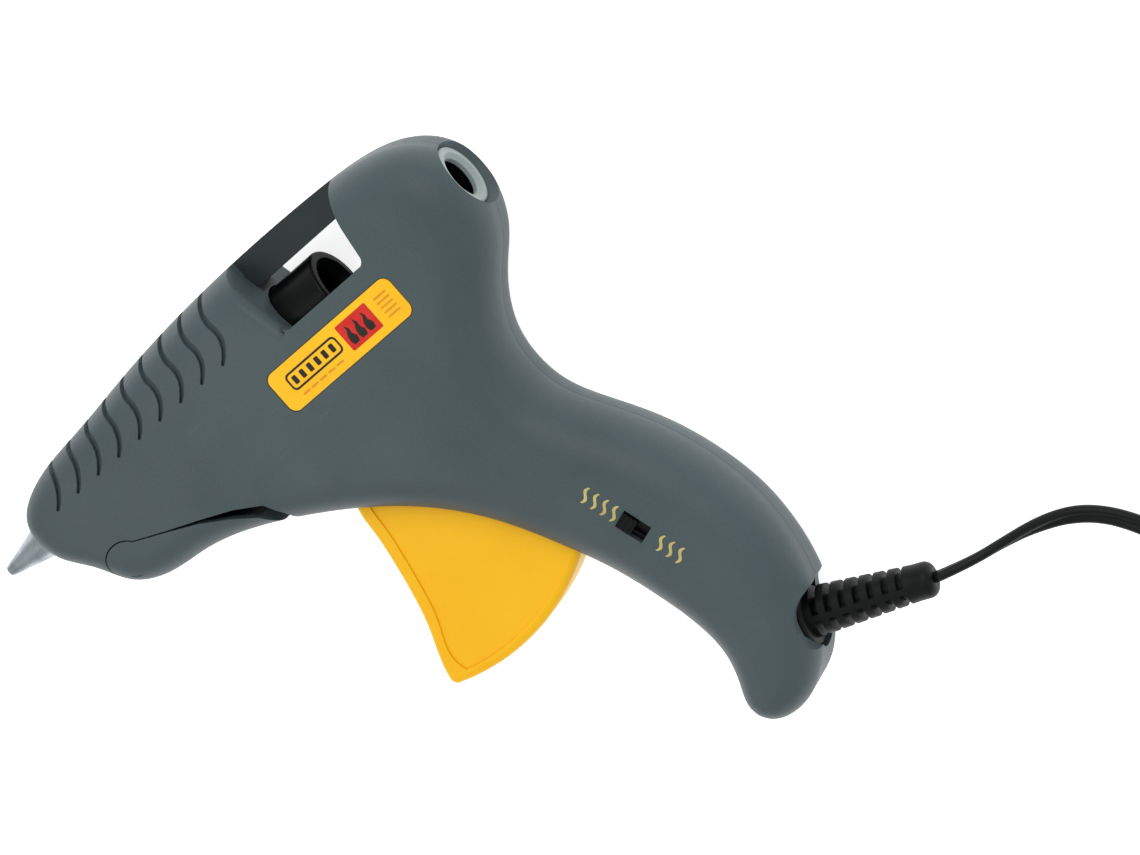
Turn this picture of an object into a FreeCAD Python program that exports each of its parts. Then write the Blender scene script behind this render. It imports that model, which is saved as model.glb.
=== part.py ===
import FreeCAD, Part
import math
import os

# Hot glue gun, lying on its side with the switch side up.
# The gun is drawn in its own frame: x runs back along the barrel from the nozzle tip, y runs up towards
# the top of the barrel, z runs out of the switch side, and z = 0 is the seam between the two casings.
# Every sub-part is then placed in the row frame: origin under the middle of the gun, +Z up.

Vector = FreeCAD.Vector
Placement = FreeCAD.Placement
Rotation = FreeCAD.Rotation

doc = FreeCAD.newDocument("glue_gun")

# ---------------------------------------------------------------- driving dimensions
DRIVING = {
    "middle_x": 107.043,         # middle of the gun in x, strain relief included
    "middle_y": -70.6283,        # middle of the gun in y
    "half_width": 17.0,          # seam to the flat side
    "wall": 2.8,                 # casing wall
    "axis_y": 1.0,               # height of the barrel axis
    "stick_bore": 5.9,           # radius of the guide and inlet for the glue stick
    "carriage_bore": 6.2,
    "melt_bore": 5.6,            # sleeve and melt chamber hold the stick closely
    "window_front": 125.5,       # window's front wall at its sill
    "window_back": 156.5,        # window's back wall at its sill
    "window_sill": 0.5,
    "bar_half_width": 4.5,       # bridge over the window
    "bar_under": 14.5,
    "pivot_x": 107.0,            # trigger pin
    "pivot_y": -38.0,
    "trigger_reach": 68.2,       # pin to the trigger's curved foot
    "trigger_half_width": 7.0,
    "trigger_gap": 0.4,          # clearance between trigger and casing
    "stand_pin_x": 41.0,
    "stand_pin_y": -20.0,
    "stand_knuckle": 7.5,        # round front end of the stand
    "stand_gap": 0.4,
    "carriage_radius": 10.8,
    "carriage_front": 107.0,
    "carriage_length": 32.0,
    "drive_pin_y": -14.0,
    "drive_pin_x": 112.5,
    "nozzle_length": 22.0,
    "valve_ball": 2.2,           # radius
    "chamber_radius": 8.0,
    "collar_face": 187.6,        # outer face of the stick inlet ring
    "relief_x": 179.9,           # outer face of the strain relief's flange
    "relief_y": -148.1,
    "relief_tilt": -20.5,        # the cord leaves at this angle to the barrel
    "relief_length": 35.6,
    "switch_x": 164.7,
    "switch_y": -98.2,
    "switch_turn": -72.0,        # the slider runs along the handle
    "cord_radius": 2.0,          # round tube standing for the flat 5.2 x 2.8 mm cord
    "coil_x": 312.0,
    "coil_y": -207.0,
    "coil_mean": 28.0,
}

sheet = doc.addObject("Spreadsheet::Sheet", "Dims")
for row, (alias, value) in enumerate(DRIVING.items(), start=1):
    sheet.set("A%d" % row, alias)
    sheet.set("B%d" % row, str(value))
    sheet.setAlias("B%d" % row, alias)
doc.recompute()

HALF = sheet.get("half_width")
WALL = sheet.get("wall")
AXIS_Y = sheet.get("axis_y")
LAY = Placement(Vector(-sheet.get("middle_x"), -sheet.get("middle_y"), HALF), Rotation())

sub_parts = []


def keep(item, label):
    item.Label = label
    sub_parts.append(item)
    return item


def from_shape(label, shape):
    item = doc.addObject("Part::Feature", label)
    item.Shape = shape
    item.Placement = LAY.multiply(shape.Placement)
    return keep(item, label)


# ---------------------------------------------------------------- primitives bound to the sheet
ALONG = {
    "x": Rotation(Vector(0, 1, 0), 90),
    "y": Rotation(Vector(1, 0, 0), -90),
    "z": Rotation(),
}


def set_corner(item, x, y, z):
    item.setExpression("Placement.Base.x", "%s - Dims.middle_x" % x)
    item.setExpression("Placement.Base.y", "%s - Dims.middle_y" % y)
    item.setExpression("Placement.Base.z", "%s + Dims.half_width" % z)


def rod(name, radius, length, x, y, z, along="z"):
    item = doc.addObject("Part::Cylinder", name)
    item.setExpression("Radius", radius)
    item.setExpression("Height", length)
    item.Placement = Placement(Vector(), ALONG[along])
    set_corner(item, x, y, z)
    return item


def cone(name, radius_1, radius_2, length, x, y, z, along="z"):
    item = doc.addObject("Part::Cone", name)
    item.setExpression("Radius1", radius_1)
    item.setExpression("Radius2", radius_2)
    item.setExpression("Height", length)
    item.Placement = Placement(Vector(), ALONG[along])
    set_corner(item, x, y, z)
    return item


def block(name, length, width, height, x, y, z):
    item = doc.addObject("Part::Box", name)
    item.setExpression("Length", length)
    item.setExpression("Width", width)
    item.setExpression("Height", height)
    set_corner(item, x, y, z)
    return item


def cut(name, base, tool):
    item = doc.addObject("Part::Cut", name)
    item.Base = base
    item.Tool = tool
    return item


def fuse(name, pieces):
    item = doc.addObject("Part::MultiFuse", name)
    item.Shapes = pieces
    return item


# ---------------------------------------------------------------- the casing's outline
# Hand-picked stations round the side view, nose first and then over the top. A radius marks a station
# where the edge rounding changes: the nose and the toe of the handle are tight, the grip is full.
OUTLINE = [
    (19.8, 2.5, 9), (22.4, 10, None), (29.5, 14.2, None), (50, 17.8, None), (75, 21, None),
    (100, 23.2, 12), (125, 23.9, None), (150, 23.5, None), (168, 21.9, None), (180, 18, 13),
    (188, 11, None), (191.2, 2, None), (190, -8, None), (185, -17.6, None), (178, -24.6, None),
    (172, -31.6, None), (168, -39.2, 14.5), (166.6, -48, None), (168, -57.5, None), (173, -67.2, None),
    (179.4, -77.1, None), (184.9, -87.7, None), (189.2, -100.2, None), (191.6, -114.1, None),
    (190.9, -127.8, 13),
    (187.2, -141.8, None), (180.8, -153.2, None), (171.9, -161.9, 9), (162.3, -165.0, None),
    (154.7, -162.6, None), (152.4, -156.6, 7.6), (154.6, -149.6, None), (156.9, -141, None),
    (156, -131, None), (152, -118, 13), (147, -105, None), (140, -91, None), (132, -77, None),
    (121, -63.4, 12), (108, -52.4, None), (92, -42.6, None), (75, -34.6, None), (58, -30, 9.5),
    (43, -28, None), (34.8, -23.6, None), (28.4, -14.4, None), (22.2, -6.6, None),
]


def outline_curve(inset):
    """A smooth closed curve through the stations, each moved in from the outline by the inset."""
    points = [Vector(x, y, 0) for x, y, rounding in OUTLINE]
    curve = Part.BSplineCurve()
    curve.interpolate(Points=points, PeriodicFlag=True)
    if inset == 0:
        return curve, points
    moved = []
    for point in points:
        along = curve.tangent(curve.parameter(point))[0]
        moved.append(point + Vector(along.y, -along.x, 0) * inset)
    inner = Part.BSplineCurve()
    inner.interpolate(Points=moved, PeriodicFlag=True)
    return inner, moved


def pillow_half(name, inset):
    """One half of the casing's outer form, or of its hollow when inset by the wall."""
    curve, points = outline_curve(inset)
    marks = []
    for point, (x, y, rounding) in zip(points, OUTLINE):
        if rounding is not None:
            marks.append((curve.parameter(point), point, rounding - inset))
    edges = []
    for start, end in zip(marks, marks[1:] + [(curve.LastParameter,)]):
        edges.append(curve.toShape(start[0], end[0]))
    depth = HALF - inset
    slab = doc.addObject("Part::Feature", name + "_slab")
    slab.Shape = Part.Face(Part.Wire(edges)).extrude(Vector(0, 0, depth))
    choices = []
    for number, edge in enumerate(slab.Shape.Edges, start=1):
        if edge.BoundBox.ZMin < depth - 0.01:
            continue
        roundings = []
        for parameter in (edge.FirstParameter, edge.LastParameter):
            end = edge.valueAt(parameter) - Vector(0, 0, depth)
            nearest = min(marks, key=lambda mark: mark[1].distanceToPoint(end))
            roundings.append(nearest[2])
        choices.append((number, roundings[0], roundings[1]))
    rounded = doc.addObject("Part::Fillet", name)
    rounded.Base = slab
    rounded.Edges = choices
    doc.recompute()
    return rounded.Shape


def prism(points, low, high):
    """A straight-sided block with the given outline in x and y, between two heights."""
    corners = [Vector(x, y, low) for x, y in points]
    return Part.Face(Part.makePolygon(corners + corners[:1])).extrude(Vector(0, 0, high - low))


def grown(points, amount, low, high):
    face = Part.Face(Part.makePolygon([Vector(x, y, low) for x, y in points + points[:1]]))
    return face.makeOffset2D(amount).extrude(Vector(0, 0, high - low))


def pillar(x, y, radius, low, high):
    return Part.makeCylinder(radius, high - low, Vector(x, y, low))


def barrel(radius, start, end):
    """A round bar on the barrel axis."""
    return Part.makeCylinder(radius, end - start, Vector(start, AXIS_Y, 0), Vector(1, 0, 0))


def funnel(radius_1, radius_2, start, end):
    return Part.makeCone(radius_1, radius_2, end - start, Vector(start, AXIS_Y, 0), Vector(1, 0, 0))


def mirrored(shape):
    return shape.mirror(Vector(0, 0, 0), Vector(0, 0, 1))


outer_half = pillow_half("outer_form", 0)
hollow_half = pillow_half("hollow_form", WALL)
REACH = HALF + 1

# ---------------------------------------------------------------- window over the stick
FRONT = sheet.get("window_front")
BACK = sheet.get("window_back")
SILL = sheet.get("window_sill")
BAR_HALF = sheet.get("bar_half_width")
BAR_UNDER = sheet.get("bar_under")
LEAN_FRONT = 6.5                              # the front wall leans forward by this at the top
LEAN_BACK = 4.2
WINDOW_TOP = 27.0                             # above the casing's top line
TROUGH = -11.5                                # floor under the carriage
LINER = 2.4
BRIM = 3.5                                    # rounding where the front wall meets the flat side

window_line = [
    (FRONT, SILL), (BACK, SILL), (BACK + LEAN_BACK, WINDOW_TOP), (FRONT - LEAN_FRONT, WINDOW_TOP),
]
trough_line = [
    (FRONT, TROUGH), (BACK, TROUGH), (BACK, SILL), (BACK + LEAN_BACK, WINDOW_TOP),
    (FRONT - LEAN_FRONT, WINDOW_TOP), (FRONT, SILL),
]


def window_opening():
    opening = prism(window_line, -1, REACH)
    sill_corners = []
    for edge in opening.Edges:
        if edge.BoundBox.ZLength > HALF and edge.BoundBox.YMax < SILL + 0.01:
            sill_corners.append(edge)
    return opening.makeFillet(2.5, sill_corners)


def window_brim():
    """What is rounded off where the leaning front wall meets the flat side."""
    foot = Vector(FRONT, SILL, 0)
    lean = Vector(-LEAN_FRONT, WINDOW_TOP - SILL, 0)
    length = lean.Length
    lean.normalize()
    inward = Vector(-lean.y, lean.x, 0)
    corners = [foot, foot + inward * BRIM, foot + inward * BRIM + lean * length, foot + lean * length]
    corner_block = prism([(corner.x, corner.y) for corner in corners], HALF - BRIM, REACH)
    centre = foot + inward * BRIM + Vector(0, 0, HALF - BRIM) - lean * 5
    return corner_block.cut(Part.makeCylinder(BRIM, length + 10, centre, lean))


# ---------------------------------------------------------------- trigger pin, trigger and its slot
PIVOT_X = sheet.get("pivot_x")
PIVOT_Y = sheet.get("pivot_y")
TRIGGER_REACH = sheet.get("trigger_reach")
TRIGGER_HALF = sheet.get("trigger_half_width")
GAP = sheet.get("trigger_gap")
TRIGGER_HEEL = -54.0                          # angle of the trigger's hidden back edge
TRIGGER_TOE = -107.9                          # angle of the trigger's lower front corner
PANEL_TOE = -102.4                            # the same corner of the panel inside the rim
SLOT_FRONT = -134.0
SLOT_BACK = -25.0


def about_pivot(angle, radius):
    turn = math.radians(angle)
    return Vector(PIVOT_X + radius * math.cos(turn), PIVOT_Y + radius * math.sin(turn), 0)


def sector(first, last, radius, low, high):
    middle = (first + last) / 2
    pivot = Vector(PIVOT_X, PIVOT_Y, 0)
    arc = Part.Arc(about_pivot(first, radius), about_pivot(middle, radius), about_pivot(last, radius))
    sides = [
        Part.LineSegment(pivot, about_pivot(first, radius)).toShape(),
        arc.toShape(),
        Part.LineSegment(about_pivot(last, radius), pivot).toShape(),
    ]
    face = Part.Face(Part.Wire(sides))
    face.translate(Vector(0, 0, low))
    return face.extrude(Vector(0, 0, high - low))


# ---------------------------------------------------------------- fold-out stand under the nose
STAND_X = sheet.get("stand_pin_x")
STAND_Y = sheet.get("stand_pin_y")
KNUCKLE = sheet.get("stand_knuckle")
STAND_GAP = sheet.get("stand_gap")
SEAM_FLOOR = 2.2
stand_line = [
    (STAND_X, -12.6), (48, -15.6), (57, -19.2), (66, -23.0), (74, -27.6), (80.5, -32.4), (82.6, -37.0),
    (82.6, -45), (38, -45), (36, -26), (STAND_X, STAND_Y),
]
stand_room_line = [
    (STAND_X, -12.2), (48, -15.2), (57, -18.7), (67, -22.3), (77, -26.2), (85, -30.6), (87.5, -36.5),
    (88, -46), (37, -46), (35.5, -26), (STAND_X, STAND_Y),
]


def stand_zone(low, high):
    return prism(stand_line, low, high).fuse(pillar(STAND_X, STAND_Y, KNUCKLE, low, high))


def stand_room(extra, low, high):
    room = prism(stand_room_line, low, high) if extra == 0 else grown(stand_room_line, extra, low, high)
    return room.fuse(pillar(STAND_X, STAND_Y, KNUCKLE + STAND_GAP + extra, low, high))


# ---------------------------------------------------------------- strain relief's seat
RELIEF_TILT = sheet.get("relief_tilt")
RELIEF = Placement(
    Vector(sheet.get("relief_x"), sheet.get("relief_y"), 0),
    Rotation(Vector(0, 0, 1), RELIEF_TILT),
)


FLANGE_PROUD = -0.9                           # the seat's edge stands this far behind the flange's face
NOTCH_CORNER = 8.5


def relief_bar(radius, start, end):
    """A round bar on the strain relief's axis, measured from the outer face of its flange."""
    bar = Part.makeCylinder(radius, end - start, Vector(start, 0, 0), Vector(1, 0, 0))
    bar.Placement = RELIEF
    return bar


def relief_notch():
    """The flange's seat, round-cornered at the back and open through the casing's whole thickness."""
    notch = Part.makeBox(14, 19.8, 2 * REACH, Vector(FLANGE_PROUD, -9.9, -REACH))
    at_back = [edge for edge in notch.Edges if edge.BoundBox.XMax < FLANGE_PROUD + 0.01]
    corners = [edge for edge in at_back if edge.BoundBox.ZLength > REACH]
    notch = notch.makeFillet(NOTCH_CORNER, corners)
    notch.Placement = RELIEF
    return notch


# ---------------------------------------------------------------- switch's seat
SWITCH = Placement(
    Vector(sheet.get("switch_x"), sheet.get("switch_y"), 0),
    Rotation(Vector(0, 0, 1), sheet.get("switch_turn")),
)
SLIDER_TRAVEL = 3.6


def at_switch(length, width, low, high, along=0.0):
    piece = Part.makeBox(length, width, high - low, Vector(along - length / 2, -width / 2, low))
    piece.Placement = SWITCH
    return piece


# ---------------------------------------------------------------- casing screws
SCREWS = [(33, -12), (100, 16.4), (172, 11.5), (92, -33), (158, -47), (183, -118), (163.5, -157)]
SCREW_SHANK = 1.4
SCREW_HEAD = 2.7
SCREW_HEAD_SEAT = 13.5                        # depth of the head's seat below the seam
SCREW_TIP = 5.0                               # the screws bite this far past the seam
BOSS = 3.9


# ---------------------------------------------------------------- the nine vent grooves
GROOVES = 9
GROOVE_FIRST = 39.8
GROOVE_PITCH = 8.65
GROOVE_DEPTH = 1.4
GROOVE_FOOT = 4.6


def groove_prism(x):
    """One groove seen from the side: down from the top, swelling back, then hooked towards the nozzle."""
    right = [
        (x + 0.9, 30), (x + 0.7, 18.5), (x + 1.2, 15.8), (x + 1.9, 13.6), (x + 1.9, 11.6), (x + 1.2, 9.6),
        (x - 0.2, 7.6), (x - 2.0, 5.9), (x - 4.2, GROOVE_FOOT),
    ]
    left = [
        (x - 4.8, GROOVE_FOOT + 0.6), (x - 3.0, 6.8), (x - 1.5, 8.4), (x - 0.5, 10.1), (x + 0.0, 11.9),
        (x - 0.1, 13.6), (x - 0.8, 15.8), (x - 1.1, 18.5), (x - 0.9, 30),
    ]
    return prism(right + left, 0, REACH)


# ---------------------------------------------------------------- the two casings
def casing(side):
    """One half of the casing, built on the +z side; side is +1 for the switch side, -1 for the other."""
    shell = outer_half.cut(hollow_half)

    # walls and floor of the window, the bridge over it, the seat of the inlet ring
    liner = prism(
        [
            (FRONT - LINER, TROUGH - LINER), (BACK + LINER, TROUGH - LINER), (BACK + LINER, SILL),
            (BACK + LEAN_BACK + LINER, WINDOW_TOP), (FRONT - LEAN_FRONT - LINER, WINDOW_TOP),
            (FRONT - LINER, SILL),
        ], 0, HALF,
    )
    liner = liner.cut(prism(trough_line, -1, HALF - WALL)).common(outer_half)
    inlet_seat = barrel(13.6, 177, 193).common(outer_half)
    relief_seat = relief_bar(12.2, -9.0, -5).common(outer_half)
    pivot_boss = pillar(PIVOT_X, PIVOT_Y, 5.0, TRIGGER_HALF + GAP, HALF - 1)
    ribs = []
    for rib in (29.5, 43.5, 84.0):
        ribs.append(Part.makeBox(1.8, 60, HALF, Vector(rib, -13, 0)).common(hollow_half))
    bosses = []
    for x, y in SCREWS:
        bosses.append(pillar(x, y, BOSS, 0, HALF - 1).common(outer_half))
    stand_floor = stand_room(SEAM_FLOOR, 0, HALF).common(outer_half)
    shell = shell.multiFuse([liner, inlet_seat, relief_seat, pivot_boss, stand_floor] + ribs + bosses)

    # openings
    cutters = [
        window_opening(), window_brim(),
        prism(trough_line, -1, HALF - WALL),
        sector(SLOT_FRONT, SLOT_BACK, TRIGGER_REACH + 0.8, -1, TRIGGER_HALF + GAP),
        barrel(6.6, 18, 23), barrel(8.35, 21.7, 70), barrel(9.5, 69, 95), barrel(11.3, 94, 128),
        barrel(7.7, 155, 186), barrel(9.3, 183.4, 188), funnel(9.3, 13.4, 187, 193),
        stand_room(0, -1, REACH),
        relief_bar(5.5, -12, 0), relief_bar(9.8, -6.3, 12), relief_notch(),
        pillar(PIVOT_X, PIVOT_Y, 2.05, -1, HALF - 2.5),
    ]
    shell = shell.cut(Part.makeCompound(cutters[:3])).cut(cutters[3])
    for cutter in cutters[4:]:
        shell = shell.cut(cutter)
    bar_top = Part.makeBox(
        BACK + LEAN_BACK + 1 - (FRONT - LEAN_FRONT - 1), 20, BAR_HALF,
        Vector(FRONT - LEAN_FRONT - 1, BAR_UNDER, 0),
    )
    shell = shell.fuse(bar_top.common(outer_half))

    # the stand's hinge lug hangs from the stand's roof
    web = prism([(STAND_X, STAND_Y), (STAND_X + 2.5, STAND_Y - 2.5), (54, -16), (46, -12.5)], 0, 7)
    lug = pillar(STAND_X, STAND_Y, 3.6, 0, 7).fuse(web)
    lug = lug.cut(pillar(STAND_X, STAND_Y, 1.55, -1, 8))
    shell = shell.fuse(lug)

    # grooves, screws and the side's own cuts
    depth_form = pillow_half("groove_form_%d" % (side + 1), GROOVE_DEPTH)
    groove_skin = outer_half.cut(depth_form)
    grooves = []
    for number in range(GROOVES):
        grooves.append(groove_prism(GROOVE_FIRST + number * GROOVE_PITCH).common(groove_skin))
    shell = shell.cut(Part.makeCompound(grooves))
    if side > 0:
        pilots = [pillar(x, y, SCREW_SHANK + 0.05, -1, SCREW_TIP + 0.6) for x, y in SCREWS]
        shell = shell.cut(Part.makeCompound(pilots))
        shell = shell.cut(at_switch(8.4, 5.4, HALF - WALL - 1, REACH))
        shell = shell.cut(label_pad(0.25, HALF - 0.5, REACH))
    else:
        holes = []
        for x, y in SCREWS:
            seat = pillar(x, y, SCREW_HEAD + 0.2, SCREW_HEAD_SEAT, REACH)
            holes.append(pillar(x, y, SCREW_SHANK + 0.2, -1, REACH).fuse(seat))
        shell = shell.cut(Part.makeCompound(holes))
    return shell if side > 0 else mirrored(shell)


LABEL = (111.3, -17.6, 47.4, 12.5)            # left, bottom, length, height
LABEL_CORNER = 2.6


def label_pad(extra, low, high):
    left, bottom, length, height = LABEL
    pad = Part.makeBox(
        length + 2 * extra, height + 2 * extra, high - low, Vector(left - extra, bottom - extra, low))
    uprights = [edge for edge in pad.Edges if edge.BoundBox.ZLength > 0.4 and edge.BoundBox.XLength < 0.01]
    uprights = [edge for edge in uprights if edge.BoundBox.YLength < 0.01]
    return pad.makeFillet(LABEL_CORNER, uprights)


from_shape("switch_side_casing", casing(1))
from_shape("far_side_casing", casing(-1))
from_shape("label_plate", label_pad(0, HALF - 0.5, HALF - 0.05))

screws = []
for x, y in SCREWS:
    head = pillar(x, y, SCREW_HEAD, -SCREW_HEAD_SEAT - 1.9, -SCREW_HEAD_SEAT)
    rim = [edge for edge in head.Edges if edge.BoundBox.ZMax < -SCREW_HEAD_SEAT - 1]
    head = head.makeFillet(0.8, rim)
    cross = Part.makeBox(3.4, 0.8, 1.2, Vector(x - 1.7, y - 0.4, -SCREW_HEAD_SEAT - 2.1))
    cross = cross.fuse(Part.makeBox(0.8, 3.4, 1.2, Vector(x - 0.4, y - 1.7, -SCREW_HEAD_SEAT - 2.1)))
    screws.append(head.cut(cross).fuse(pillar(x, y, SCREW_SHANK, -SCREW_HEAD_SEAT - 0.1, SCREW_TIP)))
from_shape("casing_screws", Part.makeCompound(screws))

# ---------------------------------------------------------------- trigger
HUB = 7.0
ARM_TOP = 27.3
ARM_INNER = 3.4                               # the two prongs straddle the carriage's lug
ARM_OUTER = 6.4
DRIVE_X = sheet.get("drive_pin_x")
DRIVE_Y = sheet.get("drive_pin_y")
DRIVE_RADIUS = 1.5


TRIGGER_FRONT = [
    (103.8, -43), (99.9, -49.2), (98.9, -57), (97.3, -66.5), (94.9, -77), (91.8, -86.5), (87.9, -95.5),
]
RIM_FRONT = 4.4                                # width of the raised rim along the front edge
RIM_FOOT = 3.2
RIM_PROUD = 0.5


def blade_form(moved_back, toe_angle, reach, low, high):
    """The finger blade's outline between two heights; moved in from the edges for the panel in the rim."""
    front = [Vector(x + moved_back, y, 0) for x, y in TRIGGER_FRONT]
    toe = about_pivot(toe_angle, reach)
    curve = Part.BSplineCurve()
    curve.interpolate(Points=front + [toe])
    heel = about_pivot(TRIGGER_HEEL, reach)
    foot = Part.Arc(toe, about_pivot((toe_angle + TRIGGER_HEEL) / 2, reach), heel)
    back_top = Vector(PIVOT_X + 5.5, PIVOT_Y + 4, 0)
    edges = [
        curve.toShape(), foot.toShape(), Part.LineSegment(heel, back_top).toShape(),
        Part.LineSegment(back_top, front[0]).toShape(),
    ]
    form = Part.Face(Part.Wire(edges)).extrude(Vector(0, 0, high - low))
    form.translate(Vector(0, 0, low))
    return form


def trigger_shape():
    blade = blade_form(0, TRIGGER_TOE, TRIGGER_REACH, -TRIGGER_HALF, TRIGGER_HALF)
    toe = about_pivot(TRIGGER_TOE, TRIGGER_REACH)
    heel = about_pivot(TRIGGER_HEEL, TRIGGER_REACH)
    at_toe = [edge for edge in blade.Edges if edge.BoundBox.XMax < toe.x + 0.01]
    toe_edge = [edge for edge in at_toe if edge.BoundBox.ZLength > 5]
    blade = blade.makeFillet(2.4, toe_edge)
    rims = []
    for edge in blade.Edges:
        box = edge.BoundBox
        outside = box.XMin < toe.x + 4 or box.YMin < -100
        if box.ZLength < 0.01 and outside and box.YMax < heel.y + 60:
            rims.append(edge)
    blade = blade.makeFillet(2.3, rims)
    panel_reach = TRIGGER_REACH - RIM_FOOT
    panel = blade_form(RIM_FRONT, PANEL_TOE, panel_reach, TRIGGER_HALF - RIM_PROUD, TRIGGER_HALF + 1)
    blade = blade.cut(panel).cut(mirrored(panel))
    # the hub and the two prongs of the drive arm
    blade = blade.fuse(pillar(PIVOT_X, PIVOT_Y, HUB, -TRIGGER_HALF, TRIGGER_HALF))
    lean = math.degrees(math.atan2(DRIVE_Y - PIVOT_Y, DRIVE_X - PIVOT_X)) - 90
    arm = Part.makeBox(7.2, ARM_TOP, ARM_OUTER * 2, Vector(-3.6, 0, -ARM_OUTER))
    slot = Part.makeBox(3.5, 6.4, ARM_OUTER * 2 + 2, Vector(-1.75, 20.6, -ARM_OUTER - 1))
    fork = Part.makeBox(9, ARM_TOP, ARM_INNER * 2, Vector(-4.5, HUB + 1, -ARM_INNER))
    arm = arm.cut(slot).cut(fork)
    arm.Placement = Placement(Vector(PIVOT_X, PIVOT_Y, 0), Rotation(Vector(0, 0, 1), lean))
    blade = blade.fuse(arm)
    return blade.cut(pillar(PIVOT_X, PIVOT_Y, 2.05, -20, 20))


from_shape("trigger", trigger_shape())
keep(rod("trigger_pin_rod", "2", "27.6", "Dims.pivot_x", "Dims.pivot_y", "-13.8"), "trigger_pin")

# torsion spring round the trigger pin: a coil and two legs, drawn as wire rings with straight ends
SPRING_WIRE = 0.5
SPRING_RADIUS = 6.4


def return_spring():
    height = TRIGGER_HALF + GAP + 1.1
    rings = []
    for number in range(4):
        ring = Part.makeTorus(SPRING_RADIUS, SPRING_WIRE, Vector(PIVOT_X, PIVOT_Y, height + number * 0.9))
        rings.append(ring)
    leg = Part.makeCylinder(
        SPRING_WIRE, 15, Vector(PIVOT_X + SPRING_RADIUS, PIVOT_Y, height), Vector(0.35, -1, 0))
    rest = Part.makeCylinder(
        SPRING_WIRE, 8, Vector(PIVOT_X - SPRING_RADIUS, PIVOT_Y, height + 2.7), Vector(-0.4, 1, 0))
    coil = rings[0]
    for piece in rings[1:] + [leg, rest]:
        coil = coil.fuse(piece)
    return coil


from_shape("trigger_spring", return_spring())

# ---------------------------------------------------------------- carriage and gripper
CARRIAGE_FRONT = sheet.get("carriage_front")
CARRIAGE_BACK = CARRIAGE_FRONT + sheet.get("carriage_length")
CARRIAGE_RADIUS = sheet.get("carriage_radius")
GRIPPER_X = 121.0
GRIPPER_Y = -7.2


def carriage_shape():
    body = barrel(CARRIAGE_RADIUS, CARRIAGE_FRONT, CARRIAGE_BACK)
    back_rim = [edge for edge in body.Edges if edge.BoundBox.XMin > CARRIAGE_BACK - 0.01]
    body = body.makeFillet(0.9, back_rim)
    lug = Part.makeBox(9, 11, 6, Vector(DRIVE_X - 4.5, DRIVE_Y - 3.5, -3))
    body = body.fuse(lug)
    body = body.cut(barrel(sheet.get("carriage_bore"), CARRIAGE_FRONT - 1, CARRIAGE_BACK + 1))
    body = body.cut(funnel(sheet.get("carriage_bore"), 8.6, CARRIAGE_BACK - 2.6, CARRIAGE_BACK + 0.2))
    body = body.cut(Part.makeBox(9.4, 8, 3.4, Vector(GRIPPER_X - 5.2, -12, -1.7)))
    body = body.cut(pillar(GRIPPER_X, GRIPPER_Y, 0.8, -5, 5))
    return body.cut(pillar(DRIVE_X, DRIVE_Y, DRIVE_RADIUS + 0.05, -5, 5))


def gripper_shape():
    plate = prism(
        [
            (GRIPPER_X - 4.2, -5.5), (GRIPPER_X - 3.2, -5.9), (GRIPPER_X - 2.4, -5.4),
            (GRIPPER_X - 1.6, -5.9), (GRIPPER_X + 1.8, -5.9), (GRIPPER_X + 2.8, -8.6),
            (GRIPPER_X - 1.6, -9.1), (GRIPPER_X - 4.2, -7.4),
        ], -1.4, 1.4,
    )
    return plate.cut(pillar(GRIPPER_X, GRIPPER_Y, 0.8, -5, 5))


from_shape("stick_carriage", carriage_shape())
from_shape("stick_gripper", gripper_shape())
from_shape("gripper_pin", pillar(GRIPPER_X, GRIPPER_Y, 0.75, -3.4, 3.4))
keep(rod("drive_pin_rod", "1.5", "13.2", "Dims.drive_pin_x", "Dims.drive_pin_y", "-6.6"), "drive_pin")

# ---------------------------------------------------------------- stand
STAND_END_WALL = 79.8


def stand_shape():
    outer = outer_half.fuse(mirrored(outer_half))
    skin = outer.common(stand_zone(-REACH, REACH))
    inside = hollow_half.fuse(mirrored(hollow_half))
    room = Part.makeBox(STAND_END_WALL, 90, 60, Vector(0, -60, -30))
    leg = skin.cut(inside.common(room))
    ear = pillar(STAND_X, STAND_Y, 4.0, 9.0, HALF - WALL + 0.5)
    leg = leg.fuse(ear).fuse(mirrored(ear))
    return leg.cut(pillar(STAND_X, STAND_Y, 1.55, -14.6, 14.6))


from_shape("fold_out_stand", stand_shape())
keep(rod("stand_pin_rod", "1.5", "28.8", "Dims.stand_pin_x", "Dims.stand_pin_y", "-14.4"), "stand_pin")

# ---------------------------------------------------------------- nozzle, valve and melt chamber
nozzle_cone = cone("nozzle_cone", "1.7", "6.2", "19.6", "0", "Dims.axis_y", "0", "x")
nozzle_flange = rod("nozzle_flange", "6.2", "2.4", "19.6", "Dims.axis_y", "0", "x")
nozzle_thread = rod("nozzle_thread", "4.2", "8", "Dims.nozzle_length", "Dims.axis_y", "0", "x")
nozzle_way = rod("nozzle_way", "1.0", "20", "-1", "Dims.axis_y", "0", "x")
nozzle_room = rod("nozzle_room", "3", "16.5", "14.5", "Dims.axis_y", "0", "x")
nozzle_body = fuse("nozzle_body", [nozzle_cone, nozzle_flange, nozzle_thread])
nozzle_holes = fuse("nozzle_holes", [nozzle_way, nozzle_room])
keep(cut("nozzle_cut", nozzle_body, nozzle_holes), "nozzle")

ball = doc.addObject("Part::Sphere", "valve_ball_form")
ball.setExpression("Radius", "Dims.valve_ball")
set_corner(ball, "28.6", "Dims.axis_y", "0")
keep(ball, "valve_ball")


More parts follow.
